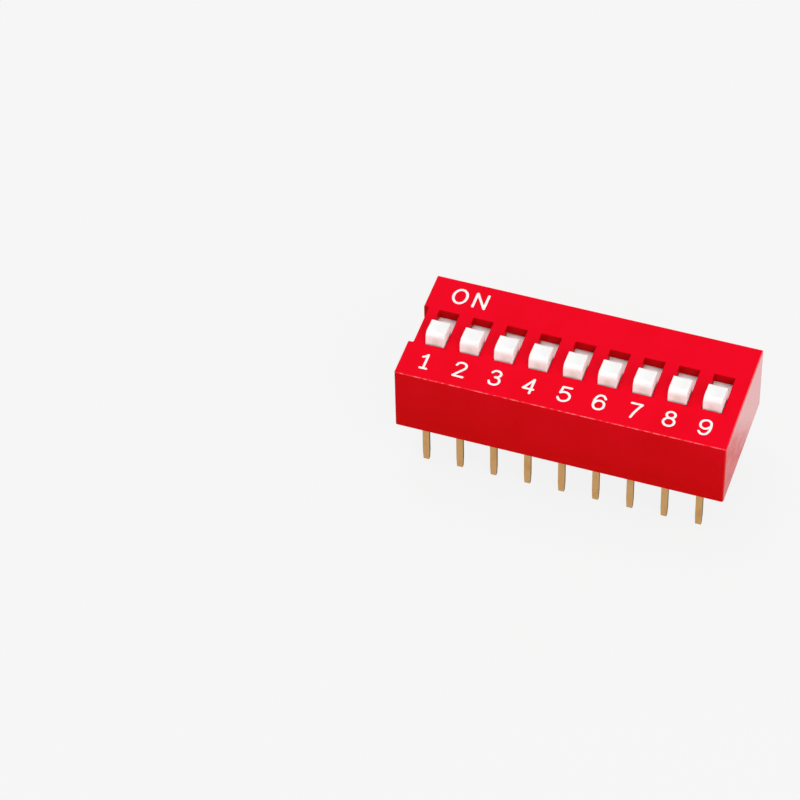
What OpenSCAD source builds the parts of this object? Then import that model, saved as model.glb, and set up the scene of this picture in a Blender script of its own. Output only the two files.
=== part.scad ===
// Slide switch block for a printed circuit board: a row of small white slides in a red cover.
// Each slide joins a front and a back terminal. The number side is the front (-Y), ON is the back
// (+Y), position 1 is at the -X end, and the terminals' tips stand at z = 0 under the centre.

/* [Positions] */
// Number of switch positions
positions = 9; // [2:1:12]
// Distance between two neighbouring positions
pitch = 2.54; // [2.5:0.01:3]

/* [Cover] */
// From the last position's centre to the cover's end face
end_margin = 1.94; // [1.9:0.01:2.6]
// Width of the cover across the terminal rows
cover_w = 9.9; // [9.6:0.1:12]
// Height of the cover from its rim to its top
cover_h = 5.5; // [5.3:0.1:7]
// Thickness of the cover's side and end walls
wall_t = 0.45; // [0.35:0.05:0.5]
// Thickness of the cover's top
roof_t = 0.75; // [0.5:0.05:0.9]
// Radius of the cover's upright corners
corner_r = 0.16; // [0.1:0.02:0.4]
// Radius of the cover's top edges
edge_r = 0.12; // [0.05:0.01:0.25]

/* [Windows] */
// Width of the window over each slide
window_w = 1.5; // [1.4:0.02:1.6]
// Length of the window over each slide
window_l = 3.45; // [3:0.05:3.6]
// Bevel along the windows' top edges
window_break = 0.03; // [0.02:0.01:0.12]

/* [Notch] */
// Width of the notch in the cover's end at position 1
notch_w = 3.6; // [2.5:0.1:4.5]
// Depth of the notch
notch_depth = 0.4; // [0.2:0.05:0.4]
// Height of the lip that closes the notch at the rim
notch_lip = 0.45; // [0.3:0.05:0.8]
// Wall left behind the notch
notch_wall = 0.25; // [0.15:0.05:0.25]
// Radius of the notch's inner corners
notch_r = 0.12; // [0.05:0.01:0.15]

/* [Base] */
// Gap between the base and the cover's walls
base_fit = 0.03; // [0.01:0.01:0.05]
// Depth of the recess in the underside
recess_depth = 0.9; // [0.5:0.05:1.1]
// Length of the recess
recess_l = 16.9; // [8:0.1:18]
// Width of the recess
recess_w = 2.2; // [1.6:0.1:3]
// Floor left between the recess and the channels
floor_t = 0.8; // [0.5:0.05:1]
// Radius of the ejector mark in the recess
ejector_r = 0.45; // [0.3:0.05:0.6]
// Depth of the ejector mark
ejector_depth = 0.05; // [0.02:0.01:0.1]
// Distance of the ejector mark's centre from the recess's end
ejector_inset = 1; // [0.7:0.1:2]
// Height of the standoff rails
rail_h = 0.5; // [0.3:0.05:0.8]
// Width of each standoff rail
rail_w = 0.65; // [0.4:0.05:1]
// Ledge between the recess and a rail
rail_ledge = 0.15; // [0.05:0.05:0.4]
// How far each rail runs past the recess
rail_over = 0.15; // [0:0.05:0.4]
// Width of the cross rail at the last position's end
cross_rail_w = 0.75; // [0.4:0.05:1]

/* [Slides] */
// Width of the raised thumb piece
nub_w = 1.36; // [1.2:0.02:1.4]
// Length of the raised thumb piece
nub_l = 1.6; // [1.2:0.05:1.8]
// Rise of the thumb piece's front edge over the cover
nub_rise = 1.05; // [0.7:0.01:1.5]
// Rise of the thumb piece's back edge over the cover
nub_back_rise = 0.92; // [0.6:0.01:1.3]
// Setback of the thumb piece's front edge at the top
nub_lean = 0.08; // [0:0.01:0.2]
// Radius along the front of the thumb piece's top
nub_front_r = 0.42; // [0.2:0.02:0.5]
// Radius along the back of the thumb piece's top
nub_back_r = 0.14; // [0.1:0.01:0.2]
// Depth of the finger scoop over the thumb piece's top and down its front
scoop_depth = 0.08; // [0.04:0.01:0.14]
// Flat border on each side of the scoop
scoop_rim = 0.05; // [0.03:0.01:0.15]
// Width of the slide's shoe in its channel
shoe_w = 1.7; // [1.6:0.02:1.74]
// Thickness of the shoe's plate under the cover
plate_t = 0.7; // [0.5:0.05:1]
// Length of the shoe's block under its plate
block_l = 3.2; // [2.6:0.1:3.6]
// Gap between the thumb piece and the window's end at each stop
stop_gap = 0.05; // [0.02:0.01:0.1]
// Overlap of the shoe's plate under the cover past the window
plate_lap = 0.1; // [0.05:0.05:0.2]
// Gap on each side of the shoe
side_gap = 0.07; // [0.03:0.01:0.07]
// Gap between the shoe's plate and the cover
top_gap = 0.05; // [0.02:0.01:0.1]
// Gap between the shoe's plate and its channel's end at each stop
channel_gap = 0.1; // [0.05:0.05:0.3]
// Height of the shoe over the channel's floor
shoe_rise = 0.8; // [0.7:0.05:1]

/* [Terminals] */
// Distance between the two rows of terminals
row_spacing = 7.62; // [7.6:0.01:8]
// Length of a terminal below the standoff rails
leg_l = 3.7; // [2.5:0.1:5]
// Width of a terminal's leg
leg_w = 0.5; // [0.4:0.02:0.8]
// Thickness of a terminal
leg_t = 0.25; // [0.2:0.01:0.35]
// Width of a leg at its tip
tip_w = 0.42; // [0.2:0.02:0.44]
// Length of a leg's tapered tip
tip_l = 0.9; // [0.3:0.1:1.2]
// Width of a terminal's contact pad
pad_w = 1.1; // [0.9:0.05:1.3]
// Plastic below the shoulder that holds a terminal in the base
shoulder_inset = 0.4; // [0.2:0.05:0.6]
// Gap between the two contact pads of a position
contact_gap = 0.55; // [0.3:0.05:0.7]

/* [Moving contacts] */
// Width of the spring strip
strip_w = 0.9; // [0.6:0.05:1]
// Thickness of the spring strip
strip_t = 0.12; // [0.08:0.01:0.15]
// Outer radius of the strip's two contact bends
bend_r = 0.3; // [0.2:0.02:0.35]
// Slope of the strip's arms
arm_angle = 60; // [55:1:70]
// Slope of the strip's upturned ends
tail_angle = 50; // [30:1:60]
// Length of the strip's upturned ends
tail_l = 0.25; // [0.1:0.05:0.35]
// Gap between the strip and the contact pads
wipe_gap = 0.02; // [0.01:0.01:0.05]
// Depth of the seat for the strip in the slide's underside
seat_depth = 0.2; // [0.15:0.05:0.3]
// Gap round the strip in its seat
seat_gap = 0.05; // [0.02:0.01:0.1]

/* [Hidden] */
$fn = 48;
cut = 0.5;
numbered = function(name) [for (i = [1 : positions]) str(name, i)];

cover_color = [0.88, 0.04, 0.12];
base_color = [0.10, 0.10, 0.11];
slide_color = [0.96, 0.96, 0.94];
gold_color = [0.85, 0.68, 0.36];

// Levels, from the terminals' tips upwards
seat_z = leg_l;
rim_z = seat_z + rail_h;
recess_z = rim_z + recess_depth;
floor_z = recess_z + floor_t;
shoe_z = floor_z + shoe_rise;
top_z = rim_z + cover_h;
ceiling_z = top_z - roof_t;
plate_z = ceiling_z - top_gap;

// Plan sizes
cover_l = (positions - 1) * pitch + 2 * end_margin;
pocket_l = cover_l - 2 * wall_t;
pocket_w = cover_w - 2 * wall_t;
base_l = pocket_l - 2 * base_fit;
base_w = pocket_w - 2 * base_fit;
backing_x = -cover_l / 2 + notch_depth + notch_wall;
backing_w = notch_w + 2 * notch_wall;

// Slide travel: the slides rest at the front, so all of it is towards +Y
travel = window_l - nub_l - 2 * stop_gap;
rest_y = -travel / 2;
plate_l = window_l + travel + 2 * plate_lap;
channel_w = shoe_w + 2 * side_gap;
channel_l = plate_l + travel + 2 * channel_gap;

// The two contact bends stand one travel apart: closed, they bridge the gap between the pads
gap_y = travel / 2;
bend_y = travel / 2;
rail_inner = recess_w / 2 + rail_ledge;

function position_x(i) = (i - (positions + 1) / 2) * pitch;
function unit(v) = v / norm(v);
// Radius of a groove of the given depth across the given width
function groove_r(width, depth) = (width * width / 4 + depth * depth) / (2 * depth);
// Two tangent points and the centre of a fillet of radius r at corner b, between a and c
function fillet(a, b, c, r) =
    let (u = unit(a - b), w = unit(c - b), half = acos(u * w) / 2, t = r / tan(half))
    [b + u * t, b + w * t, b + unit(u + w) * r / sin(half)];

// Convex polygon whose corners have the given radii, 0 for a sharp one
module rounded_polygon(points, radii) {
    n = len(points);
    cuts = [for (k = [0 : n - 1])
        fillet(points[(k + n - 1) % n], points[k], points[(k + 1) % n], radii[k])];
    polygon([for (k = [0 : n - 1], p = radii[k] > 0 ? [cuts[k][0], cuts[k][1]] : [points[k]]) p]);
    for (k = [0 : n - 1]) if (radii[k] > 0) translate(cuts[k][2]) circle(r = radii[k]);
}

// Rectangle centred on the origin with four equal corner radii
module rounded_rect(l, w, r) {
    rounded_polygon([[-l, -w], [l, -w], [l, w], [-l, w]] / 2, [r, r, r, r]);
}

// Upright face of width w and height h, standing on y = 0, with rounded top corners
module arch_face(w, h, r) {
    rounded_polygon([[-w / 2, 0], [w / 2, 0], [w / 2, h], [-w / 2, h]], [0, 0, r, r]);
}

// Box standing on z = 0, centred in plan
module block(l, w, h) {
    translate([-l / 2, -w / 2, 0]) cube([l, w, h]);
}

// Prism of a YZ outline (drawn as x = Y, y = Z), of the given width, centred on x = 0
module side_prism(width) {
    rotate([90, 0, 90]) translate([0, 0, -width / 2]) linear_extrude(width) children();
}

// Prism of an XZ outline, of the given depth, centred on y = 0
module front_prism(depth) {
    rotate([90, 0, 0]) translate([0, 0, -depth / 2]) linear_extrude(depth) children();
}

// ---- Cover ----

// Outer form: rounded upright corners and rounded top edges
module cover_form() {
    intersection() {
        linear_extrude(cover_h) rounded_rect(cover_l, cover_w, corner_r);
        front_prism(cover_w + 2 * cut) arch_face(cover_l, cover_h, edge_r);
        side_prism(cover_l + 2 * cut) arch_face(cover_w, cover_h, edge_r);
    }
}

// Trapezoid whose sides flare at 45 degrees through width w at y = 0, from cut below it to h above
module flared_face(w, h) {
    polygon([[cut - w / 2, -cut], [w / 2 - cut, -cut], [w / 2 + h, h], [-w / 2 - h, h]]);
}

// Opening over a slide, with its top edges bevelled
module window() {
    reach = window_break + cut;
    translate([0, 0, ceiling_z - cut]) block(window_w, window_l, roof_t + 2 * cut);
    translate([0, 0, top_z - window_break]) intersection() {
        front_prism(window_l + 2 * reach) flared_face(window_w, reach);
        side_prism(window_w + 2 * reach) flared_face(window_l, reach);
    }
}

// Space inside the cover, less the backing that keeps a wall behind the notch
module cover_pocket() {
    difference() {
        translate([0, 0, rim_z - cut]) block(pocket_l, pocket_w, ceiling_z - rim_z + cut);
        translate([backing_x - cover_l / 2, -backing_w / 2, rim_z + notch_lip])
            cube([cover_l / 2, backing_w, cover_h]);
    }
}

module cover() {
    color(cover_color) difference() {
        translate([0, 0, rim_z]) cover_form();
        cover_pocket();
        for (i = [1 : positions]) translate([position_x(i), 0, 0]) window();
        translate([-cover_l / 2, 0, rim_z + notch_lip])
            linear_extrude(cover_h) rounded_rect(2 * notch_depth, notch_w, notch_r);
    }
}

// ---- Base ----

// Two long rails and a cross rail that hold the switch clear of the board
module rails() {
    rail_l = recess_l + 2 * rail_over;
    translate([0, 0, seat_z]) {
        for (side = [-1, 1])
            translate([0, side * (rail_inner + rail_w / 2), 0]) block(rail_l, rail_w, rail_h + cut / 5);
        translate([recess_l / 2, -rail_inner, 0]) cube([cross_rail_w, 2 * rail_inner, rail_h + cut / 5]);
    }
}

module base() {
    color(base_color) difference() {
        union() {
            translate([0, 0, rim_z]) block(base_l, base_w, ceiling_z - rim_z);
            rails();
        }
        translate([0, 0, seat_z - cut]) block(recess_l, recess_w, recess_z - seat_z + cut);
        translate([ejector_inset - recess_l / 2, 0, recess_z - cut])
            cylinder(r = ejector_r, h = cut + ejector_depth);
        for (i = [1 : positions]) {
            translate([position_x(i), 0, floor_z]) block(channel_w, channel_l, ceiling_z - floor_z + cut);
            terminal(i, 1);
            terminal(i, -1);
        }
        translate([backing_x + base_fit - cover_l / 2, -backing_w / 2 - base_fit, rim_z + notch_lip - base_fit])
            cube([cover_l / 2, backing_w + 2 * base_fit, cover_h]);
    }
}

// ---- Terminals ----

// Leg and shoulder, seen from the front
module leg_face() {
    polygon([
        [-tip_w / 2, 0], [tip_w / 2, 0], [leg_w / 2, tip_l], [leg_w / 2, rim_z + shoulder_inset],
        [pad_w / 2, rim_z + shoulder_inset], [pad_w / 2, floor_z], [-pad_w / 2, floor_z],
        [-pad_w / 2, rim_z + shoulder_inset], [-leg_w / 2, rim_z + shoulder_inset], [-leg_w / 2, tip_l]
    ]);
}

// Terminal i on the given side: 1 is the back row, -1 the front row
module terminal(i, side) {
    pad_end = gap_y + side * contact_gap / 2;
    outer = side * (row_spacing + leg_t) / 2;
    translate([position_x(i), 0, 0]) {
        translate([0, side * row_spacing / 2, 0]) front_prism(leg_t) leg_face();
        translate([-pad_w / 2, min(outer, pad_end), floor_z - leg_t])
            cube([pad_w, abs(outer - pad_end), leg_t]);
    }
}

module terminal_front(i) {
    color(gold_color) terminal(i, -1);
}

module terminal_back(i) {
    color(gold_color) terminal(i, 1);
}

// ---- Slides ----

// Corners of the thumb piece's side outline, with y = 0 at its middle
nub_back_top = [nub_l / 2, top_z + nub_back_rise];
nub_front_top = [-nub_l / 2 + nub_lean, top_z + nub_rise];
nub_front_foot = [-nub_l / 2, top_z];

// Side outline of the thumb piece, from inside its plate up
module nub_outline() {
    root_z = plate_z - plate_t / 2;
    rounded_polygon(
        [[-nub_l / 2, root_z], [nub_l / 2, root_z], nub_back_top, nub_front_top, nub_front_foot],
        [0, 0, nub_back_r, nub_front_r, 0]
    );
}

// Cross-section of the scoop's cutter: x is the distance from the front bend's centre line
module scoop_face() {
    r = groove_r(nub_w - 2 * scoop_rim, scoop_depth);
    translate([nub_front_r - scoop_depth, 0]) intersection() {
        translate([r, 0]) circle(r = r);
        translate([0, -r]) square([2 * scoop_depth, 2 * r]);
    }
}

// Cutter of the one scoop that runs over the top, round the front bend and down the front
module nub_scoop() {
    top_slope = atan((nub_rise - nub_back_rise) / (nub_l - nub_lean));
    front_slope = atan(nub_lean / nub_rise);
    centre = fillet(nub_back_top, nub_front_top, nub_front_foot, nub_front_r)[2];
    rotate([90, 0, 90]) translate(centre) {
        rotate(90 - top_slope) {
            rotate([90, 0, 0]) linear_extrude(2 * nub_l) scoop_face();
            rotate_extrude(angle = 90 + top_slope - front_slope) scoop_face();
        }
        rotate(180 - front_slope)
            rotate([90, 0, 0]) translate([0, 0, -2 * nub_rise]) linear_extrude(2 * nub_rise) scoop_face();
    }
}

module actuator(i) {
    seat_l = 2 * (arm_y(shoe_rise) + strip_t / 2 / sin(arm_angle) + seat_gap);
    color(slide_color) translate([position_x(i), rest_y, 0]) difference() {
        union() {
            difference() {
                side_prism(nub_w) nub_outline();
                nub_scoop();
            }
            translate([0, 0, plate_z - plate_t]) block(shoe_w, plate_l, plate_t);
            translate([0, 0, shoe_z]) block(shoe_w, block_l, plate_z - shoe_z);
        }
        translate([0, 0, shoe_z - cut]) block(strip_w + 2 * seat_gap, seat_l, cut + seat_depth);
    }
}

// ---- Moving contacts ----

// The strip's centre line: bend radius, bend centre's height, and where an arm leaves its bend
mid_r = bend_r - strip_t / 2;
bend_z = wipe_gap + bend_r;
bar_z = shoe_rise + seat_depth - strip_t / 2;
arm_low = [bend_y - mid_r * sin(arm_angle), bend_z - mid_r * cos(arm_angle)];
function arm_y(z) = arm_low[0] - (z - arm_low[1]) / tan(arm_angle);

// One straight stretch of strip between two points, with round ends
module strip(a, b) {
    d = b - a;
    translate(a) rotate(atan2(d[1], d[0])) translate([0, -strip_t / 2]) square([norm(d), strip_t]);
    for (end = [a, b]) translate(end) circle(d = strip_t);
}

// Half of the strip's side outline: centre bar, arm, contact bend and upturned end
module half_strip() {
    reach = 2 * bend_r;
    low = -90 - arm_angle;
    high = -90 + tail_angle;
    bar_end = [arm_y(bar_z), bar_z];
    strip([0, bar_z], bar_end);
    strip(arm_low, bar_end);
    translate([bend_y, bend_z]) {
        intersection() {
            difference() {
                circle(r = bend_r);
                circle(r = bend_r - strip_t);
            }
            polygon([
                [0, 0], reach * [cos(low), sin(low)], reach * [-1, -1], reach * [0, -1.5],
                reach * [1, -1], reach * [cos(high), sin(high)]
            ]);
        }
        tail = mid_r * [cos(high), sin(high)];
        strip(tail, tail + tail_l * [cos(tail_angle), sin(tail_angle)]);
    }
}

module contact(i) {
    color(gold_color) translate([position_x(i), rest_y, floor_z]) side_prism(strip_w) {
        half_strip();
        mirror([1, 0]) half_strip();
    }
}

cover();
base();
for (i = [1 : positions]) {
    actuator(i);
    contact(i);
    terminal_front(i);
    terminal_back(i);
}
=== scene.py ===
"""Finishes, legends and studio of a nine-way slide dip switch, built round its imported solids.

Lengths are in millimetres. Only the floor, the lamps and the camera are placed in metres.
"""

import logging
import math
from abc import ABC, abstractmethod
from collections.abc import Callable, Mapping, Sequence
from dataclasses import dataclass
from enum import Enum
from typing import TypeAlias

import bmesh
import bpy
import numpy as np
from mathutils import Matrix, Vector


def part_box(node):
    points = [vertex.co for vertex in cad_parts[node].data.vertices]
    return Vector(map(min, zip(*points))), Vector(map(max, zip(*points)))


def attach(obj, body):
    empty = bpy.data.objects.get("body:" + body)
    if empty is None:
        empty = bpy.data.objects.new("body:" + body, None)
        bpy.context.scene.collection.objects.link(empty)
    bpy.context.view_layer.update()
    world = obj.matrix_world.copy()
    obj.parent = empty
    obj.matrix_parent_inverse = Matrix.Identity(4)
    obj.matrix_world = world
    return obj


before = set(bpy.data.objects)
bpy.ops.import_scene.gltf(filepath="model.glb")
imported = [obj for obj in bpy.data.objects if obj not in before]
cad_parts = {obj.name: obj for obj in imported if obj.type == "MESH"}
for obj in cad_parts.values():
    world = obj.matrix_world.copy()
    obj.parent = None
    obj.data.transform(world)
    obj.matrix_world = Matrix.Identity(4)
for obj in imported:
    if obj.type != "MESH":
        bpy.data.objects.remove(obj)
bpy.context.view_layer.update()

log = logging.getLogger("dip_switch")

MM = 0.001
PITCH = 2.54
COVER = "cover"
HOUSING = "housing"

Triple: TypeAlias = tuple[float, float, float]
Colour: TypeAlias = Triple
Pair: TypeAlias = tuple[float, float]
Term: TypeAlias = "Wire | float | Sequence[float]"


def srgb(red: int, green: int, blue: int) -> Colour:
    """Turns a screen colour into the linear one that shaders take, by the sRGB curve.

    Args:
        red: Red from 0 to 255.
        green: Green from 0 to 255.
        blue: Blue from 0 to 255.

    Returns:
        The linear colour.
    """

    def linear(level: int) -> float:
        """Linear value of one screen level."""
        share = level / 255
        return share / 12.92 if share <= 0.04045 else ((share + 0.055) / 1.055) ** 2.4

    return linear(red), linear(green), linear(blue)


# ---- Shader maths ----


class Axis(Enum):
    """An axis of an object, by the name of its socket."""

    X = "X"
    Y = "Y"
    Z = "Z"


class Ray(Enum):
    """A kind of ray that the backdrop answers in its own way, by the name of its socket."""

    CAMERA = "Is Camera Ray"
    GLOSSY = "Is Glossy Ray"
    TRANSMISSION = "Is Transmission Ray"


class Wire:
    """A shader socket that can stand in a Python expression."""

    def __init__(self, graph: "Graph", socket: bpy.types.NodeSocket) -> None:
        """Wraps a socket.

        Args:
            graph: The graph that the socket belongs to.
            socket: An output socket.
        """
        self.graph = graph
        self.socket = socket

    def __add__(self, other: Term) -> "Wire":
        """Sum of two values."""
        return self.graph.math("ADD", self, other)

    def __radd__(self, other: Term) -> "Wire":
        """Sum with a plain number on the left."""
        return self.graph.math("ADD", other, self)

    def __sub__(self, other: Term) -> "Wire":
        """Difference of two values."""
        return self.graph.math("SUBTRACT", self, other)

    def __rsub__(self, other: Term) -> "Wire":
        """A plain number less this value."""
        return self.graph.math("SUBTRACT", other, self)

    def __mul__(self, other: Term) -> "Wire":
        """Product of two values."""
        return self.graph.math("MULTIPLY", self, other)

    def __rmul__(self, other: Term) -> "Wire":
        """Product with a plain number on the left."""
        return self.graph.math("MULTIPLY", other, self)

    def __truediv__(self, other: Term) -> "Wire":
        """Quotient of two values."""
        return self.graph.math("DIVIDE", self, other)

    def __rtruediv__(self, other: Term) -> "Wire":
        """A plain number divided by this value."""
        return self.graph.math("DIVIDE", other, self)

    def __neg__(self) -> "Wire":
        """This value with its sign turned."""
        return self.graph.math("MULTIPLY", self, -1.0)

    def __abs__(self) -> "Wire":
        """This value without its sign."""
        return self.graph.math("ABSOLUTE", self)

    def step(self, low: float, high: float) -> "Wire":
        """Maps this value smoothly from 0 at low to 1 at high.

        Args:
            low: Where the result is 0.
            high: Where the result is 1.

        Returns:
            The mapped value.
        """
        return self.graph.wire(
            "ShaderNodeMapRange",
            "Result",
            {"interpolation_type": "SMOOTHSTEP"},
            {"Value": self, "From Min": low, "From Max": high},
        )


class Graph:
    """The node tree of one material or world, with its maths."""

    def __init__(self, tree: bpy.types.NodeTree) -> None:
        """Starts an empty graph in a node tree.

        Args:
            tree: The tree, whose nodes are cleared.
        """
        self.tree = tree
        tree.nodes.clear()

    def node(
        self,
        kind: str,
        settings: Mapping[str, object] | None = None,
        sockets: Mapping[str | int, Term] | None = None,
    ) -> bpy.types.Node:
        """Adds a node, sets it up, then fills or links its inputs.

        Args:
            kind: Blender's name of the node's type.
            settings: Properties of the node, which are set first.
            sockets: A value or wire for each named or numbered input.

        Returns:
            The new node.
        """
        made = self.tree.nodes.new(kind)
        for name, value in (settings or {}).items():
            setattr(made, name, value)
        for name, value in (sockets or {}).items():
            if isinstance(value, Wire):
                self.tree.links.new(value.socket, made.inputs[name])
            elif isinstance(value, (int, float)):
                made.inputs[name].default_value = value
            else:
                want = len(made.inputs[name].default_value)
                made.inputs[name].default_value = (*value, 1.0)[:want]
        return made

    def wire(
        self,
        kind: str,
        output: str | int = 0,
        settings: Mapping[str, object] | None = None,
        sockets: Mapping[str | int, Term] | None = None,
    ) -> Wire:
        """Adds a node and gives one of its outputs.

        Args:
            kind: Blender's name of the node's type.
            output: The output's name or number.
            settings: Properties of the node.
            sockets: A value or wire for each named or numbered input.

        Returns:
            The output.
        """
        return Wire(self, self.node(kind, settings, sockets).outputs[output])

    def math(self, operation: str, first: Term, second: Term = 0.0) -> Wire:
        """Adds a Math node.

        Args:
            operation: Blender's name of the operation.
            first: The first value.
            second: The second value, where the operation takes two.

        Returns:
            The result.
        """
        return self.wire("ShaderNodeMath", 0, {"operation": operation}, {0: first, 1: second})

    def blend(self, first: Term, second: Term, share: Term) -> Wire:
        """Mixes two colours.

        Args:
            first: The colour at a share of 0.
            second: The colour at a share of 1.
            share: How much of the second colour shows.

        Returns:
            The mixed colour.
        """
        sockets = {0: share, 6: first, 7: second}
        return self.wire("ShaderNodeMix", 2, {"data_type": "RGBA"}, sockets)

    def layer(self, first: Wire, second: Wire, share: Term) -> Wire:
        """Mixes two shaders.

        Args:
            first: The shader at a share of 0.
            second: The shader at a share of 1.
            share: How much of the second shader shows.

        Returns:
            The mixed shader.
        """
        return self.wire("ShaderNodeMixShader", 0, None, {0: share, 1: first, 2: second})

    def place(self, stretch: Triple = (1.0, 1.0, 1.0)) -> Wire:
        """Gives the object's own coordinates in millimetres, stretched along each axis.

        Args:
            stretch: How many times finer a pattern is along X, Y and Z.

        Returns:
            The coordinates.
        """
        own = self.wire("ShaderNodeTexCoord", "Object")
        scale = tuple(part / MM for part in stretch)
        return self.wire("ShaderNodeVectorMath", 0, {"operation": "MULTIPLY"}, {0: own, 1: scale})

    def part(self, vector: Wire, axis: Axis) -> Wire:
        """Gives the part of a vector along one axis."""
        return self.wire("ShaderNodeSeparateXYZ", axis.value, None, {0: vector})

    def along(self, axis: Axis) -> Wire:
        """Gives the object's own coordinate along one axis, in millimetres."""
        return self.part(self.place(), axis)

    def facing(self, axis: Axis) -> Wire:
        """Gives how squarely the surface faces along one axis, from -1 to 1."""
        return self.part(self.wire("ShaderNodeTexCoord", "Normal"), axis)

    def ray(self, kind: Ray) -> Wire:
        """Gives 1 for rays of one kind and 0 for the others."""
        return self.wire("ShaderNodeLightPath", kind.value)

    def bump(self, height: Wire, depth: float) -> Wire:
        """Turns a height into a bumped normal.

        Args:
            height: The height from 0 to 1.
            depth: What a height of 1 stands for, in millimetres.

        Returns:
            The normal.
        """
        sockets = {"Height": height, "Distance": depth * MM, "Strength": 1.0}
        return self.wire("ShaderNodeBump", "Normal", None, sockets)

    def surface(self, constants: Mapping[str, Term], wires: Mapping[str, Term]) -> None:
        """Adds the shader and joins it to the output.

        Args:
            constants: Values that are the same all over the surface.
            wires: Values that change over the surface.
        """
        shader = self.wire("ShaderNodeBsdfPrincipled", 0, None, {**constants, **wires})
        self.node("ShaderNodeOutputMaterial", None, {"Surface": shader})


@dataclass(frozen=True)
class Clouds:
    """A cloudy pattern in an object's own space, from 0 to 1, sized in millimetres."""

    size: float
    detail: float = 2.0
    rough: float = 0.5
    stretch: Triple = (1.0, 1.0, 1.0)
    spread: Pair | None = None

    def on(self, graph: Graph) -> Wire:
        """Adds the pattern to a graph.

        Args:
            graph: The graph of a material.

        Returns:
            The pattern, sharpened between the two levels of its spread.
        """
        sockets = {
            "Vector": graph.place(self.stretch),
            "Scale": 1 / self.size,
            "Detail": self.detail,
            "Roughness": self.rough,
        }
        noise = graph.wire("ShaderNodeTexNoise", "Fac", None, sockets)
        return noise.step(*self.spread) if self.spread else noise


def flow_marks(size: float) -> Clouds:
    """Gives the drawn-out clouds that plastic leaves as it fills its mould."""
    return Clouds(size, 3, 0.55, (1, 0.45, 0.8), (0.3, 0.75))


def named_material(name: str, fill: Callable[[Graph], None]) -> bpy.types.Material:
    """Makes a material once and gives it back on later calls.

    Args:
        name: The material's name.
        fill: Builds the nodes in the graph that it is given.

    Returns:
        The material.
    """
    made = bpy.data.materials.get(name)
    if made is None:
        made = bpy.data.materials.new(name)
        made.use_nodes = True
        fill(Graph(made.node_tree))
    return made


# ---- Marks on the mouldings: painted shade, highlight and glare, and the end's gloss ----


@dataclass(frozen=True)
class Mark(ABC):
    """A colour that shows over part of a moulding, placed by the box of a node."""

    colour: Colour
    node: str = COVER

    @abstractmethod
    def share(self, graph: Graph) -> Wire:
        """Measures how much of the mark's colour shows at each point.

        Args:
            graph: The graph of the moulding's material.

        Returns:
            The share, from 0 to 1.
        """

    def coat(self, graph: Graph) -> Term:
        """Measures the gloss that the mark adds, from 0 to 1: none, unless it is polished."""
        return 0.0

    def box(self) -> tuple[Vector, Vector]:
        """Gives the lowest and highest corners of the mark's node, in millimetres."""
        low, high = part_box(self.node)
        return low / MM, high / MM


@dataclass(frozen=True)
class UprightTint(Mark):
    """Painted shade on a moulding's upright faces, deeper towards its foot; on the thumb pieces,
    a painted cooler tint that offsets the red light bounced from the cover.
    """

    least: float = 0.62
    deepening: float = 0.3
    mottle: float = 0.16
    mottle_size: float = 4.0
    turn: Pair = (0.2, 0.8)

    def share(self, graph: Graph) -> Wire:
        """Measures how much of the painted colour of the upright faces shows at each point.

        Args:
            graph: The graph of the moulding's material.

        Returns:
            The share, from 0 to 1.
        """
        low, high = self.box()
        # upright faces get painted shade, more of it towards the foot, with random mottling
        upright = 1 - abs(graph.facing(Axis.Z)).step(*self.turn)
        depth = (high.z - graph.along(Axis.Z)) / (high.z - low.z)
        flow = flow_marks(self.mottle_size).on(graph)
        return upright * (self.least + depth * self.deepening + flow * self.mottle)


@dataclass(frozen=True)
class CoverRim(Mark):
    """A painted highlight along the cover's long top edges, broken into a thin uneven line."""

    reach: float = 0.08
    bend: Pair = (0.0875, 0.25)
    faintest: float = 0.06
    rubbing: Clouds = Clouds(0.22, 4, 0.7, (0.5, 1, 1), (0.42, 0.62))

    def share(self, graph: Graph) -> Wire:
        """Measures how much of the painted highlight shows at each point.

        Args:
            graph: The graph of the cover's material.

        Returns:
            The share, from 0 to 1.
        """
        high = self.box()[1]
        # painted highlight on the rounded top edges, broken up by a pattern
        side = abs(graph.along(Axis.Y)) - (high.y - self.reach)
        rise = graph.along(Axis.Z) - (high.z - self.reach)
        rounded = side.step(0.0, self.reach) * rise.step(0.0, self.reach)
        broken_line = self.faintest + self.rubbing.on(graph) * (1 - self.faintest)
        return rounded.step(*self.bend) * broken_line


@dataclass(frozen=True)
class WindowWalls(Mark):
    """Painted shade on the walls of the windows, a deeper red where little light reaches."""

    reach: Pair = (11.4, 1.9)
    skin: float = 0.06
    border: float = 0.05

    def share(self, graph: Graph) -> Wire:
        """Measures how much of the painted shade shows at each point.

        Args:
            graph: The graph of the cover's material.

        Returns:
            The share, from 0 to 1.
        """
        # painted shade below the top, inside the windows' reach
        share = (self.box()[1].z - graph.along(Axis.Z)).step(0.0, self.skin)
        for axis, reach in zip((Axis.X, Axis.Y), self.reach):
            share = share * (reach - abs(graph.along(axis))).step(0.0, self.border)
        return share


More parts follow.
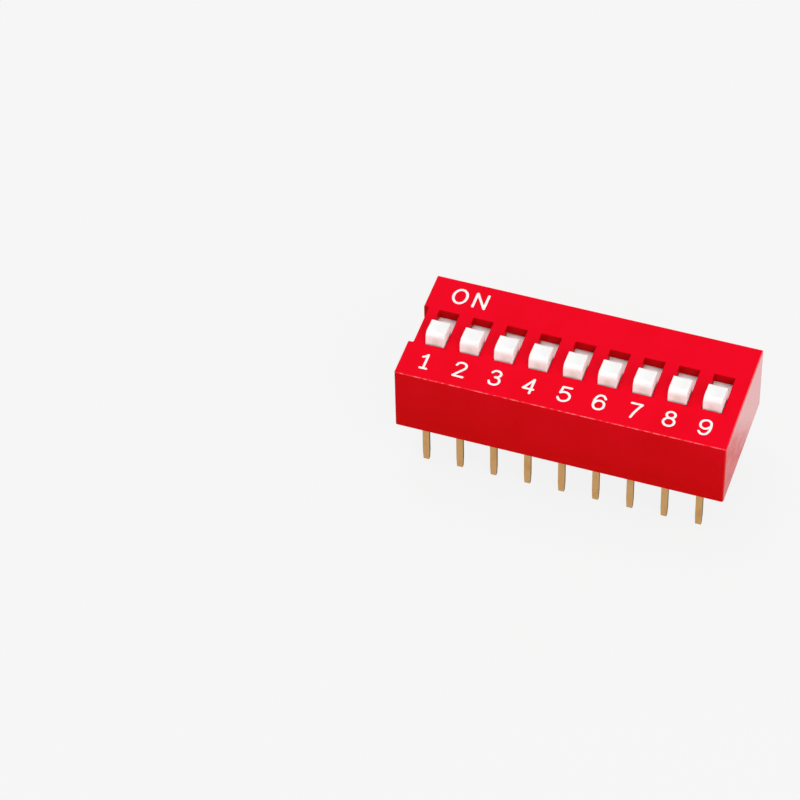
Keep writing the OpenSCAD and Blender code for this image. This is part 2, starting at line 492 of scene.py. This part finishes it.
@dataclass(frozen=True)
class EndPolish(Mark):
    """The glossier area at the upper back of the cover's plain end, whose colour is lightened as
    painted glare.
    """

    fading: float = 0.16
    dullest: float = 0.18
    smearing: float = 0.35
    slope: float = 0.5
    border: float = 0.68
    softness: float = 0.2
    fray: float = 0.22
    skin: Pair = (-0.1, -0.03)
    smears: Clouds = Clouds(0.3, 4, 0.7, (1, 0.3, 1.5), (0.38, 0.6))
    streaks: Clouds = Clouds(0.7, 5, 0.75, (1, 0.4, 1.8))

    def share(self, graph: Graph) -> Wire:
        """Measures how much of the painted glare shows at each point.

        Args:
            graph: The graph of the cover's material.

        Returns:
            The share, from 0 to 1.
        """
        return self._rubbed(graph) * self._end(graph) * self.fading

    def coat(self, graph: Graph) -> Term:
        """Measures how glossy each point is.

        Args:
            graph: The graph of the cover's material.

        Returns:
            The coat's weight, from 0 to 1.
        """
        dull = self.dullest + self.smears.on(graph) * self.smearing
        return (dull + self._rubbed(graph) * (1 - dull)) * self._end(graph)

    def _rubbed(self, graph: Graph) -> Wire:
        """Marks the glossy area with its painted glare, which frays along the end's length.

        Args:
            graph: The graph of the cover's material.

        Returns:
            1 inside the area and 0 outside, with a soft border.
        """
        low, high = self.box()
        along = (graph.along(Axis.Y) - low.y) / (high.y - low.y)
        up = (graph.along(Axis.Z) - low.z) / (high.z - low.z)
        frayed = self.streaks.on(graph) * (2 * self.fray) - self.fray
        edge = along + up * self.slope + frayed
        return edge.step(self.border - self.softness, self.border + self.softness)

    def _end(self, graph: Graph) -> Wire:
        """Marks the plain end's face."""
        return (graph.along(Axis.X) - self.box()[1].x).step(*self.skin)


@dataclass(frozen=True)
class ThumbStain(Mark):
    """Painted shade, a faint brown, low on the front of every thumb piece."""

    pitch: float = PITCH
    half_w: float = 0.42
    half_h: float = 0.42
    rise: float = 0.22
    strength: float = 0.55
    least: float = 0.55
    raggedness: float = 1.4
    border: Pair = (1.65, 0.5)
    front: Pair = (0.4, 0.95)
    edge: Clouds = Clouds(0.45, 3, 0.6)
    wear: Clouds = Clouds(1.7, 1, spread=(0.35, 0.65))

    def share(self, graph: Graph) -> Wire:
        """Measures how much of the painted shade shows at each point.

        Args:
            graph: The graph of the thumb pieces' material.

        Returns:
            The share, from 0 to 1.
        """
        across = graph.math("PINGPONG", graph.along(Axis.X), self.pitch / 2) / self.half_w
        foot = self.box()[1].z + self.rise
        up = (graph.along(Axis.Z) - foot) / self.half_h
        spread = self.edge.on(graph) * self.raggedness
        near = (across * across + up * up + spread).step(*self.border)
        worn = self.least + self.wear.on(graph) * (1 - self.least)
        return near * (-graph.facing(Axis.Y)).step(*self.front) * worn * self.strength


# ---- Finishes ----


@dataclass(frozen=True)
class Surface(ABC):
    """What a piece's surface is made of, as one material of its own."""

    name: str
    colour: Colour

    def material(self) -> bpy.types.Material:
        """Makes the material."""
        return named_material(self.name, self._fill)

    @abstractmethod
    def _fill(self, graph: Graph) -> None:
        """Builds the nodes.

        Args:
            graph: An empty graph.
        """


@dataclass(frozen=True)
class MouldedPlastic(Surface):
    """Injection-moulded plastic with flow marks, a fine tool texture and light scuffs."""

    flow_colour: Colour
    marks: tuple[Mark, ...] = ()
    roughness: float = 0.3
    specular: float = 0.5
    flow_size: float = 4.0
    ripples_per_flow: float = 3.0
    ripple_height: float = 2.0
    grain: Clouds = Clouds(0.09, 2, 0.6)
    grain_depth: float = 0.0015
    grain_matt: float = 0.08
    scratches: Clouds = Clouds(0.22, 3, 0.65, (0.25, 1, 1.6), (0.58, 0.74))
    patches: Clouds = Clouds(2.2, spread=(0.45, 0.7))
    scuff: float = 0.12
    glow: float = 0.0
    glow_depth: float = 0.25
    coat_roughness: float = 0.25

    def _fill(self, graph: Graph) -> None:
        """Builds the nodes.

        Args:
            graph: An empty graph.
        """
        colour = graph.blend(self.colour, self.flow_colour, flow_marks(self.flow_size).on(graph))
        for mark in self.marks:
            colour = graph.blend(colour, mark.colour, mark.share(graph))
        grain = self.grain.on(graph)
        ripple = Clouds(self.flow_size / self.ripples_per_flow, 1).on(graph)
        scuffs = self.scratches.on(graph) * self.patches.on(graph)
        graph.surface(
            {
                "Specular IOR Level": self.specular,
                "Subsurface Weight": self.glow,
                "Subsurface Radius": (1.0, 1.0, 1.0),
                "Subsurface Scale": self.glow_depth * MM,
                "Coat Roughness": self.coat_roughness,
            },
            {
                "Base Color": colour,
                "Roughness": self.roughness + grain * self.grain_matt + scuffs * self.scuff,
                "Normal": graph.bump(grain + ripple * self.ripple_height, self.grain_depth),
                "Coat Weight": sum(mark.coat(graph) for mark in self.marks),
            },
        )


@dataclass(frozen=True)
class GoldPlating(Surface):
    """Thin gold over stamped copper alloy, with redder worn patches, and its sides facing along X
    painted dark as shade.
    """

    worn_colour: Colour
    cut_colour: Colour
    roughness: float = 0.34
    drawn: Clouds = Clouds(0.05, 3, 0.6, (1, 1, 0.06))
    drawn_tint: float = 0.3
    drawn_matt: float = 0.14
    worn: Clouds = Clouds(0.5, stretch=(1, 1, 0.4), spread=(0.45, 0.75))
    worn_tint: float = 0.7
    worn_matt: float = 0.06
    cut_side: Pair = (0.6, 0.9)
    cut_matt: float = 0.15
    pits: Clouds = Clouds(0.06)
    pit_share: float = 0.6
    relief: float = 0.0012

    def _fill(self, graph: Graph) -> None:
        """Builds the nodes.

        Args:
            graph: An empty graph.
        """
        drawn, worn, pits = (pattern.on(graph) for pattern in (self.drawn, self.worn, self.pits))
        # sides facing along X are painted dark, as shade
        cut_shade = abs(graph.facing(Axis.X)).step(*self.cut_side)
        tint = worn * self.worn_tint + drawn * self.drawn_tint
        plated = graph.blend(self.colour, self.worn_colour, tint)
        matt = drawn * self.drawn_matt + worn * self.worn_matt + cut_shade * self.cut_matt
        graph.surface(
            {"Metallic": 1.0},
            {
                "Base Color": graph.blend(plated, self.cut_colour, cut_shade),
                "Roughness": self.roughness + matt,
                "Normal": graph.bump(drawn + pits * self.pit_share, self.relief),
            },
        )


@dataclass(frozen=True)
class PrintInk(Surface):
    """Matt ink that takes up a little of the plastic's texture."""

    thin_colour: Colour
    specular: float = 0.35
    roughness: float = 0.45
    grain: Clouds = Clouds(0.07, 3, 0.6)
    grain_matt: float = 0.2
    thin: Clouds = Clouds(0.35, spread=(0.55, 0.85))
    relief: float = 0.002

    def _fill(self, graph: Graph) -> None:
        """Builds the nodes.

        Args:
            graph: An empty graph.
        """
        grain, thin = self.grain.on(graph), self.thin.on(graph)
        graph.surface(
            {"Specular IOR Level": self.specular},
            {
                "Base Color": graph.blend(self.colour, self.thin_colour, thin * grain),
                "Roughness": self.roughness + grain * self.grain_matt,
                "Normal": graph.bump(grain, self.relief),
            },
        )


class Finish(Enum):
    """The finishes of the switch."""

    COVER = MouldedPlastic(
        "red_moulding",
        srgb(239, 2, 34),
        srgb(233, 1, 27),
        (
            # painted shade on the upright faces, deeper towards the foot
            UprightTint(srgb(203, 0, 2)),
            # painted shade on the windows' walls
            WindowWalls(srgb(196, 0, 6)),
            # painted highlight along the long top edges
            CoverRim(srgb(252, 128, 132)),
            # glossier end, its colour lightened as painted glare
            EndPolish(srgb(255, 212, 214)),
        ),
        specular=0.03,
    )
    BASE = MouldedPlastic(
        "black_moulding",
        srgb(23, 24, 26),
        srgb(29, 29, 31),
        roughness=0.42,
        specular=0.28,
        flow_size=3.0,
        grain_depth=0.003,
    )
    SLIDE = MouldedPlastic(
        "white_moulding",
        srgb(250, 253, 249),
        srgb(247, 250, 245),
        (
            # painted cooler tint on the upright faces, offsetting the red light bounced from the
            # cover
            UprightTint(srgb(239, 255, 250), "actuator_1", least=0.7, deepening=0.0, mottle=0.15),
            # painted shade low on each thumb front
            ThumbStain(srgb(218, 210, 180)),
        ),
        roughness=0.45,
        specular=0.25,
        flow_size=1.2,
        grain_depth=0.001,
        scuff=0.08,
        glow=0.8,
    )
    TERMINAL = GoldPlating(
        "leg_plating",
        srgb(196, 155, 102),
        srgb(184, 137, 80),
        # dark colour painted on the sides as shade
        srgb(70, 48, 30),
    )
    CONTACT = GoldPlating(
        "strip_plating",
        srgb(228, 186, 112),
        srgb(210, 158, 92),
        srgb(190, 140, 80),
        roughness=0.24,
    )
    INK = PrintInk("legend_ink", srgb(246, 246, 244), srgb(238, 220, 220))


def dress(obj: bpy.types.Object, finish: Finish) -> bpy.types.Object:
    """Gives every material slot of an object one finish.

    Args:
        obj: The object.
        finish: Its finish.

    Returns:
        The object.
    """
    made = finish.value.material()
    if not obj.material_slots:
        obj.data.materials.append(made)
    for slot in obj.material_slots:
        slot.material = made
    return obj


# ---- Legends ----


@dataclass(frozen=True)
class Stroke:
    """One pen line of a character, through the given points or round an ellipse."""

    points: tuple[Pair, ...]
    curved: bool = False
    closed: bool = False

    @staticmethod
    def ring(centre: Pair, half_w: float, half_h: float, knots: int = 16) -> "Stroke":
        """Makes a closed oval stroke.

        Args:
            centre: The oval's centre.
            half_w: Half of its width.
            half_h: Half of its height.
            knots: Points round the oval.

        Returns:
            The stroke.
        """
        turns = [math.tau * k / knots for k in range(knots)]
        points = [
            (centre[0] + half_w * math.cos(turn), centre[1] + half_h * math.sin(turn))
            for turn in turns
        ]
        return Stroke(tuple(points), curved=True, closed=True)

    def path(self, steps: int = 8) -> np.ndarray:
        """Samples the stroke, with a smooth curve through its points where it is curved.

        Args:
            steps: Samples between two points of a curve.

        Returns:
            The samples, one row each.
        """
        knots = np.array(self.points, float)
        if not self.curved:
            return knots
        if self.closed:
            knots = np.vstack([knots[-1:], knots, knots[:2]])
        else:
            knots = np.vstack([2 * knots[0] - knots[1], knots, 2 * knots[-1] - knots[-2]])
        made = []
        for a, b, c, d in zip(knots, knots[1:], knots[2:], knots[3:]):
            slope, bend, twist = c - a, 2 * a - 5 * b + 4 * c - d, 3 * b - a - 3 * c + d
            for t in np.linspace(0, 1, steps, endpoint=False):
                made.append(0.5 * (2 * b + slope * t + bend * t**2 + twist * t**3))
        made.append(knots[-2])
        return np.array(made)


def line(*points: Pair) -> Stroke:
    """Makes a stroke of straight pieces."""
    return Stroke(points)


def curve(*points: Pair) -> Stroke:
    """Makes a smoothly curved stroke."""
    return Stroke(points, curved=True)


# Strokes in millimetres: y from the character's foot, x from the middle of the position for a
# figure and from the middle of the cover for a letter
FIGURES: dict[str, tuple[Stroke, ...]] = {
    "1": (
        curve((-0.42, 1.05), (-0.27, 1.12), (-0.1, 1.31)),
        line((-0.1, 1.31), (-0.11, 0.0)),
        line((-0.35, 0.0), (0.12, 0.0)),
    ),
    "2": (
        curve(
            (-0.45, 1.03), (-0.36, 1.23), (-0.11, 1.32), (0.15, 1.23), (0.25, 1.0),
            (0.17, 0.77), (-0.02, 0.54), (-0.24, 0.29), (-0.46, 0.02),
        ),
        line((-0.46, 0.02), (0.26, 0.0)),
    ),
    "3": (
        curve(
            (-0.38, 1.1), (-0.25, 1.27), (-0.03, 1.32), (0.18, 1.23), (0.26, 1.03),
            (0.16, 0.81), (-0.08, 0.71),
        ),
        curve(
            (-0.08, 0.71), (0.17, 0.65), (0.31, 0.43), (0.27, 0.18), (0.1, 0.03),
            (-0.1, 0.0), (-0.32, 0.08), (-0.42, 0.28),
        ),
    ),
    "4": (
        line((0.12, 1.31), (-0.47, 0.38), (0.27, 0.38)),
        line((0.12, 1.31), (0.09, 0.0)),
    ),
    "5": (
        line((0.3, 1.31), (-0.31, 1.29), (-0.38, 0.74)),
        curve(
            (-0.38, 0.74), (-0.14, 0.85), (0.14, 0.81), (0.33, 0.61), (0.36, 0.37),
            (0.24, 0.12), (-0.03, 0.0), (-0.29, 0.05), (-0.45, 0.27),
        ),
    ),
    "6": (
        curve(
            (0.3, 1.06), (0.15, 1.26), (-0.08, 1.32), (-0.29, 1.19), (-0.42, 0.87),
            (-0.44, 0.5), (-0.39, 0.21), (-0.23, 0.03), (-0.04, 0.0), (0.18, 0.06),
            (0.32, 0.27), (0.32, 0.54), (0.2, 0.74), (-0.02, 0.82), (-0.25, 0.74), (-0.42, 0.5),
        ),
    ),
    "7": (
        line((-0.41, 1.31), (0.36, 1.31)),
        curve((0.36, 1.31), (0.12, 0.84), (-0.04, 0.44), (-0.16, 0.0)),
    ),
    "8": (
        Stroke.ring((-0.04, 1.03), 0.31, 0.29),
        Stroke.ring((-0.04, 0.37), 0.39, 0.37),
    ),
    "9": (
        curve(
            (-0.38, 0.2), (-0.22, 0.03), (0.0, 0.0), (0.21, 0.12), (0.34, 0.44), (0.36, 0.84),
            (0.28, 1.16), (0.1, 1.3), (-0.12, 1.31), (-0.34, 1.17), (-0.42, 0.92),
            (-0.34, 0.66), (-0.12, 0.53), (0.12, 0.57), (0.34, 0.82),
        ),
    ),
    "O": (Stroke.ring((-9.89, 0.665), 0.49, 0.665),),
    "N": (
        line((-8.78, 0.0), (-8.77, 1.31)),
        line((-8.75, 1.31), (-7.94, 0.0)),
        line((-7.94, 0.0), (-7.92, 1.31)),
    ),
}


@dataclass(frozen=True)
class Legend:
    """Characters printed on the cover: one thin rounded film of ink."""

    name: str
    characters: str
    x: float
    y: float
    pen: float = 0.18
    film: float = 0.014
    sunk: float = 0.15
    shoulder: float = 0.05
    cell: float = 0.022

    def build(self, top: float) -> bpy.types.Object:
        """Makes the film from the distance to the characters' strokes.

        Args:
            top: Height of the cover's top, in millimetres.

        Returns:
            The film.
        """
        paths = [stroke.path() for shape in self.characters for stroke in FIGURES[shape]]
        ends = np.vstack([np.hstack([path[:-1], path[1:]]) for path in paths])
        low = np.minimum(ends[:, :2].min(0), ends[:, 2:].min(0)) - self.pen
        high = np.maximum(ends[:, :2].max(0), ends[:, 2:].max(0)) + self.pen
        xs = np.arange(low[0], high[0], self.cell)
        ys = np.arange(low[1], high[1], self.cell)
        inside = self.pen / 2 - self._distance(ends, xs, ys)
        mesh = bmesh.new()
        corners: dict[tuple[int, ...], bmesh.types.BMVert] = {}

        def corner(a: tuple[int, int], b: tuple[int, int]) -> bmesh.types.BMVert:
            """Gives a corner of the film, made once.

            Args:
                a: A grid point in the ink.
                b: The same point, or a neighbour out of the ink.

            Returns:
                The corner at a, or at the edge of the ink between a and b.
            """
            key = (*min(a, b), *max(a, b))
            if key not in corners:
                share, rise = 0.0, math.sqrt(min(1.0, inside[a] / self.shoulder))
                if a != b:
                    share, rise = inside[a] / (inside[a] - inside[b]), -self.sunk
                x = xs[a[0]] + (xs[b[0]] - xs[a[0]]) * share
                y = ys[a[1]] + (ys[b[1]] - ys[a[1]]) * share
                corners[key] = mesh.verts.new(
                    Vector((self.x + x, self.y + y, top + self.film * rise)) * MM
                )
            return corners[key]

        for i in range(len(xs) - 1):
            for j in range(len(ys) - 1):
                square = [(i, j), (i + 1, j), (i + 1, j + 1), (i, j + 1)]
                ring = []
                for a, b in zip(square, square[1:] + square[:1]):
                    if inside[a] > 0:
                        ring.append(corner(a, a))
                    if (inside[a] > 0) != (inside[b] > 0):
                        ring.append(corner(a, b) if inside[a] > 0 else corner(b, a))
                if len(ring) > 2:
                    mesh.faces.new(ring)
        return new_piece(self.name, mesh, Finish.INK, HOUSING)

    @staticmethod
    def _distance(
        ends: np.ndarray, xs: np.ndarray, ys: np.ndarray, shortest: float = 1e-9
    ) -> np.ndarray:
        """Measures how far each grid point is from the nearest stroke.

        Args:
            ends: Start and end of each short line, one row each.
            xs: The grid's x values.
            ys: The grid's y values.
            shortest: The least squared length that a line is taken to have.

        Returns:
            The distances, indexed by x and then y.
        """
        grid = np.stack(np.meshgrid(xs, ys, indexing="ij"), -1)
        nearest = np.full(grid.shape[:2], np.inf)
        for x0, y0, x1, y1 in ends:
            start, run = np.array([x0, y0]), np.array([x1 - x0, y1 - y0])
            along = np.clip(((grid - start) @ run) / max(run @ run, shortest), 0, 1)
            gap = np.linalg.norm(grid - start - along[..., None] * run, axis=-1)
            nearest = np.minimum(nearest, gap)
        return nearest


def new_object(name: str, mesh: bmesh.types.BMesh) -> bpy.types.Object:
    """Turns a mesh into an object of the scene.

    Args:
        name: The object's name.
        mesh: Its mesh, which is freed.

    Returns:
        The object.
    """
    data = bpy.data.meshes.new(name)
    mesh.to_mesh(data)
    mesh.free()
    obj = bpy.data.objects.new(name, data)
    bpy.context.scene.collection.objects.link(obj)
    return obj


def new_piece(name: str, mesh: bmesh.types.BMesh, finish: Finish, body: str) -> bpy.types.Object:
    """Turns a mesh into a smooth, finished object that rides on a body.

    Args:
        name: The object's name.
        mesh: Its mesh, which is freed.
        finish: Its finish.
        body: The body that it rides on.

    Returns:
        The object.
    """
    piece = dress(new_object(name, mesh), finish)
    for face in piece.data.polygons:
        face.use_smooth = True
    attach(piece, body)
    return piece


# ---- Sub-assemblies ----


@dataclass
class Assembly(ABC):
    """A part of the switch that is built and dressed as one."""

    positions: int = 9

    @abstractmethod
    def build(self) -> list[bpy.types.Object]:
        """Builds and dresses the pieces.

        Returns:
            The pieces.
        """

    def numbers(self) -> range:
        """Gives the positions' numbers, from 1 up."""
        return range(1, self.positions + 1)

    def dressed(self, node: str, finish: Finish) -> bpy.types.Object:
        """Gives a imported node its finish, and gives back the node's object."""
        return dress(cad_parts[node], finish)


@dataclass
class Housing(Assembly):
    """The red cover with its printed legends, and the black base under it."""

    cover: str = COVER
    base: str = "base"
    pitch: float = PITCH
    figure_foot: float = -3.985
    word_foot: float = 2.745
    word_pen: float = 0.195

    def build(self) -> list[bpy.types.Object]:
        """Dresses the mouldings and prints the legends.

        Returns:
            The pieces.
        """
        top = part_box(self.cover)[1].z / MM
        return [
            self.dressed(self.cover, Finish.COVER),
            self.dressed(self.base, Finish.BASE),
            *(legend.build(top) for legend in self._legends()),
        ]

    def _legends(self) -> list[Legend]:
        """Lists the word and the nine figures, each at its place.

        Returns:
            The legends.
        """
        middle = (self.positions + 1) / 2
        figures = [
            Legend(f"figure_{k}", str(k), (k - middle) * self.pitch, self.figure_foot)
            for k in self.numbers()
        ]
        return [Legend("legend_on", "ON", 0.0, self.word_foot, self.word_pen), *figures]


@dataclass
class Slides(Assembly):
    """The sliding actuators with their gold contact strips."""

    slide: str = "actuator"
    strip: str = "contact"

    def build(self) -> list[bpy.types.Object]:
        """Dresses each slide and its strip.

        Returns:
            The pieces.
        """
        kinds = ((self.slide, Finish.SLIDE), (self.strip, Finish.CONTACT))
        return [
            self.dressed(f"{name}_{k}", finish) for k in self.numbers() for name, finish in kinds
        ]


@dataclass
class Terminals(Assembly):
    """The two rows of gold-plated legs."""

    rows: tuple[str, ...] = ("terminal_front", "terminal_back")

    def build(self) -> list[bpy.types.Object]:
        """Dresses each leg.

        Returns:
            The pieces.
        """
        return [
            self.dressed(f"{row}_{k}", Finish.TERMINAL)
            for row in self.rows
            for k in self.numbers()
        ]


# ---- Studio ----


@dataclass(frozen=True)
class Softbox:
    """A square lamp with a soft front, whose level at its aim is the same from any distance."""

    name: str
    towards: Triple
    distance: float
    size: float
    level: float

    def build(self, aim: Vector) -> bpy.types.Object:
        """Hangs the lamp so that it faces a point.

        Args:
            aim: The point that it lights.

        Returns:
            The lamp.
        """
        data = bpy.data.lights.new(self.name, "AREA")
        data.shape, data.size = "SQUARE", self.size
        data.energy = self.level * self.distance**2 * math.pi
        lamp = bpy.data.objects.new(self.name, data)
        away = Vector(self.towards).normalized()
        lamp.location = aim + away * self.distance
        lamp.rotation_mode = "QUATERNION"
        lamp.rotation_quaternion = away.to_track_quat("Z", "Y")
        bpy.context.scene.collection.objects.link(lamp)
        return lamp


@dataclass
class Studio:
    """A pale floor, soft lamps, an even sky and the camera."""

    backdrop: Colour = srgb(246, 246, 246)
    floor_colour: Colour = (0.5, 0.5, 0.5)
    floor_tint: Colour = (0.53, 0.53, 0.53)
    floor_mottle: Clouds = Clouds(40.0)
    floor_size: float = 4.0
    floor_cells: int = 8
    shadow_share: float = 0.12
    paper_level: float = 1.06
    sky_low: float = 0.76
    sky_high: float = 0.46
    sky_top: float = 0.8
    aim: Triple = (0.0, 0.0, 0.007)
    lamps: tuple[Softbox, ...] = (
        Softbox("key_lamp", (-0.25, 0.2, 0.95), 0.5, 0.3, 1.05),
        Softbox("fill_lamp", (0.64, -0.6, 0.48), 0.5, 0.5, 2.1),
    )
    azimuth: float = 19.747
    elevation: float = 47.981
    roll: float = -1.543
    camera_place: Triple = (0.051752, -0.181688, 0.215292)
    lens: float = 178.25
    sensor: float = 36.0
    clip: Pair = (0.01, 20.0)

    def build(self) -> None:
        """Sets up the floor, the sky, the lamps and the camera."""
        self._floor()
        self._sky()
        for lamp in self.lamps:
            lamp.build(Vector(self.aim))
        self._camera()
        bpy.context.scene.view_settings.view_transform = "Standard"

    def _floor(self) -> None:
        """Lays the floor, which is seen from above only."""
        cells = self.floor_cells
        mesh = bmesh.new()
        bmesh.ops.create_grid(mesh, x_segments=cells, y_segments=cells, size=self.floor_size / 2)
        floor = new_object("studio_floor", mesh)
        floor.data.materials.append(named_material("studio_paper", self._paper))

    def _paper(self, graph: Graph) -> None:
        """Fills the floor's material: the backdrop's colour to the camera, grey to the light.

        Args:
            graph: An empty graph.
        """
        colour = graph.blend(self.floor_colour, self.floor_tint, self.floor_mottle.on(graph))
        plain = graph.wire("ShaderNodeBsdfDiffuse", 0, None, {"Color": colour})
        light = {"Color": self.backdrop, "Strength": self.paper_level}
        even = graph.wire("ShaderNodeEmission", 0, None, light)
        seen = graph.ray(Ray.CAMERA) * (1 - self.shadow_share)
        mirrored = graph.ray(Ray.GLOSSY) + graph.ray(Ray.TRANSMISSION)
        clear = graph.wire("ShaderNodeBsdfTransparent")
        under = graph.wire("ShaderNodeNewGeometry", "Backfacing")
        sheet = graph.layer(graph.layer(plain, even, seen + mirrored), clear, under)
        graph.node("ShaderNodeOutputMaterial", None, {"Surface": sheet})

    def _sky(self) -> None:
        """Fills the world: pale to the camera, brighter low down than overhead to the rest."""
        world = bpy.data.worlds.new("studio_sky")
        world.use_nodes = True
        bpy.context.scene.world = world
        graph = Graph(world.node_tree)
        up = graph.part(graph.wire("ShaderNodeTexCoord", "Generated"), Axis.Z)
        level = self.sky_low + up.step(0.0, self.sky_top) * (self.sky_high - self.sky_low)
        white = {"Color": (1.0, 1.0, 1.0), "Strength": level}
        shade = graph.wire("ShaderNodeBackground", 0, None, white)
        light = {"Color": self.backdrop, "Strength": 1.0}
        pale = graph.wire("ShaderNodeBackground", 0, None, light)
        seen = graph.ray(Ray.CAMERA) + graph.ray(Ray.GLOSSY) + graph.ray(Ray.TRANSMISSION)
        sky = graph.layer(shade, pale, seen)
        graph.node("ShaderNodeOutputWorld", None, {"Surface": sky})

    def _camera(self) -> None:
        """Places the camera, which looks down at the front and the right end."""
        turn, lift, tilt = map(math.radians, (self.azimuth, self.elevation, self.roll))
        back = Vector(
            (math.sin(turn) * math.cos(lift), -math.cos(turn) * math.cos(lift), math.sin(lift))
        )
        right = Vector((math.cos(turn), math.sin(turn), 0.0))
        up = back.cross(right)
        axes = Matrix(
            (
                right * math.cos(tilt) + up * math.sin(tilt),
                up * math.cos(tilt) - right * math.sin(tilt),
                back,
            )
        ).transposed()
        data = bpy.data.cameras.new("studio_camera")
        data.sensor_width, data.lens = self.sensor, self.lens
        data.clip_start, data.clip_end = self.clip
        camera = bpy.data.objects.new("studio_camera", data)
        camera.matrix_world = Matrix.Translation(self.camera_place) @ axes.to_4x4()
        bpy.context.scene.collection.objects.link(camera)
        bpy.context.scene.camera = camera


def main() -> None:
    """Builds the studio and the switch, and reports each piece."""
    logging.basicConfig(level=logging.INFO, format="%(name)s: %(message)s")
    Studio().build()
    for assembly in (Housing(), Slides(), Terminals()):
        name = type(assembly).__name__
        for piece in assembly.build():
            log.info("%s: %s, %d faces", name, piece.name, len(piece.data.polygons))


if __name__ == "__main__":
    main()
